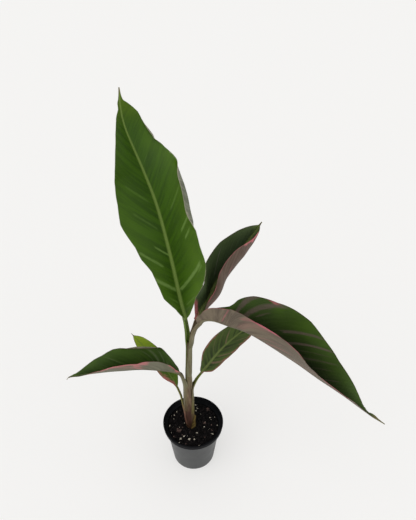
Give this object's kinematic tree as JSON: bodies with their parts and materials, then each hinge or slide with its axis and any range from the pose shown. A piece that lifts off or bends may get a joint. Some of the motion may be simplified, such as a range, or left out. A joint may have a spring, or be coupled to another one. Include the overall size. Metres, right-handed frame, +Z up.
{
  "type": "potted banana plant",
  "caption": "Young banana plant in a round tapered nursery pot: a short pseudostem of wrapped sheaths carries folded paddle-shaped leaves, the longest upright, another arching and drooping.",
  "frame": {"origin": "centre of the pot's flat underside, on the surface the plant stands on", "axes": "+Z up along the pot's axis; the plant is seen from -Y, and the drooping leaf reaches towards +X"},
  "size_m": [0.5019, 0.2542, 0.6541],
  "materials": {
    "pot": "satin",
    "potting_soil": "matte",
    "pseudostem": "satin",
    "old_sheath": "matte",
    "petiole": "satin",
    "leaf_dark": "satin",
    "leaf_green": "satin"
  },
  "bodies": {
    "root": {"pot": "pot", "potting_soil": "potting_soil", "pseudostem": "pseudostem", "old_leaf_sheath": "old_sheath", "small_leaf_petiole": "petiole", "small_leaf_blade": "leaf_dark", "right_leaf_petiole": "petiole", "right_leaf_blade": "leaf_dark", "left_leaf_petiole": "petiole", "left_leaf_blade": "leaf_dark", "drooping_leaf_petiole": "petiole", "drooping_leaf_blade": "leaf_dark", "back_leaf_petiole": "petiole", "back_leaf_blade": "leaf_dark", "tall_leaf_petiole": "petiole", "tall_leaf_blade": "leaf_green"}
  },
  "joints": []
}
